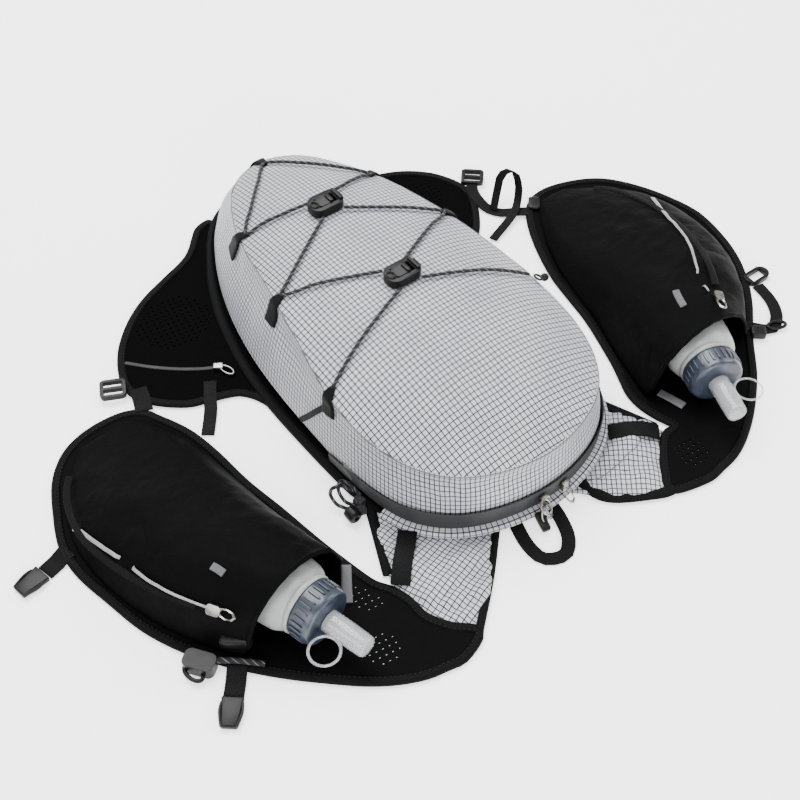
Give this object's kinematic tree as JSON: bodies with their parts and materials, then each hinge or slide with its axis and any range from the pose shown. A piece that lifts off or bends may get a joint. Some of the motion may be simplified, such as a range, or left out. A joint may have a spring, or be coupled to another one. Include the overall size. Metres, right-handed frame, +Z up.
{
  "type": "running hydration vest",
  "caption": "Running hydration vest laid open: raised laced pack in the middle, side wings, and front panels with pockets that hold soft flasks.",
  "frame": {"origin": "on the surface that the vest lies on, under the middle of the back pad", "axes": "+Z up from the surface, +Y from the neck to the waist, +X to the side of the right panel"},
  "size_m": [0.7049, 0.5164, 0.1128],
  "materials": {
    "ripstop_light": "light ripstop, semi-matt, with a dark grid",
    "stretch_black": "matt stretch cloth",
    "mesh_black": "open spacer mesh, matt",
    "coated_tape_grey": "coated zip tape, satin",
    "reflective_grey": "reflective tape, satin",
    "cord_black": "braided, matt",
    "webbing_black": "woven, matt",
    "plastic_black": "moulded, fine grain",
    "metal_silver": "satin plated",
    "flask_film": "milky film",
    "cap_tint": "tinted, gloss",
    "cover_clear": "clear, gloss"
  },
  "bodies": {
    "vest": {"pack_gusset": "ripstop_light", "pack_face": "ripstop_light", "yoke_left": "ripstop_light", "yoke_right": "ripstop_light", "panel_left": "stretch_black", "panel_right": "stretch_black", "pocket_left": "stretch_black", "pocket_right": "stretch_black", "back_pad": "mesh_black", "wing_left": "mesh_black", "wing_right": "mesh_black", "zip_band": "coated_tape_grey", "pocket_zip_left": "reflective_grey", "pocket_zip_right": "reflective_grey", "cord_waist": "cord_black", "cord_middle_left": "cord_black", "cord_middle_right": "cord_black", "cord_near_left": "cord_black", "cord_near_right": "cord_black", "pole_cord": "cord_black", "lace_loop_waist": "webbing_black", "lace_loop_near_left": "webbing_black", "lace_loop_middle_left": "webbing_black", "lace_loop_middle_right": "webbing_black", "lace_loop_far_left": "webbing_black", "lace_loop_far_right": "webbing_black", "load_strap_left": "webbing_black", "load_strap_right": "webbing_black", "carry_loop": "webbing_black", "side_strap_left": "webbing_black", "side_strap_right": "webbing_black", "strap_tail_right": "webbing_black", "wing_strap_left": "webbing_black", "chest_strap_lower_left": "webbing_black", "chest_strap_upper_left": "webbing_black", "chest_loop_right": "webbing_black", "lace_hook_near_right": "plastic_black", "cord_lock_near": "plastic_black", "cord_lock_far": "plastic_black", "side_buckle_left": "plastic_black", "side_buckle_right": "plastic_black", "buckle_tip_lower_left": "plastic_black", "buckle_tip_upper_left": "plastic_black", "chest_clasp_left": "plastic_black", "chest_ring_right": "plastic_black", "pole_toggle": "plastic_black", "zip_slider_left": "metal_silver", "zip_slider_right": "metal_silver", "pocket_slider_left": "metal_silver", "pocket_slider_right": "metal_silver", "flask_left": "flask_film", "flask_right": "flask_film", "flask_cap_left": "cap_tint", "flask_cap_right": "cap_tint", "bite_valve_left": "cap_tint", "bite_valve_right": "cap_tint", "valve_cover_left": "cover_clear", "valve_cover_right": "cover_clear"},
    "near_slider": {"cord_lock_slider_near": "plastic_black"},
    "far_slider": {"cord_lock_slider_far": "plastic_black"}
  },
  "joints": [
    {"name": "near_slider_press", "type": "slide", "parent": "vest", "child": "near_slider", "axis": [1, 0, 0], "range_m": [0, 0.003], "stiffness_N_per_m": 300, "springref_m": -0.003},
    {"name": "far_slider_press", "type": "slide", "parent": "vest", "child": "far_slider", "axis": [1, 0, 0], "range_m": [0, 0.003], "stiffness_N_per_m": 300, "springref_m": -0.003}
  ]
}
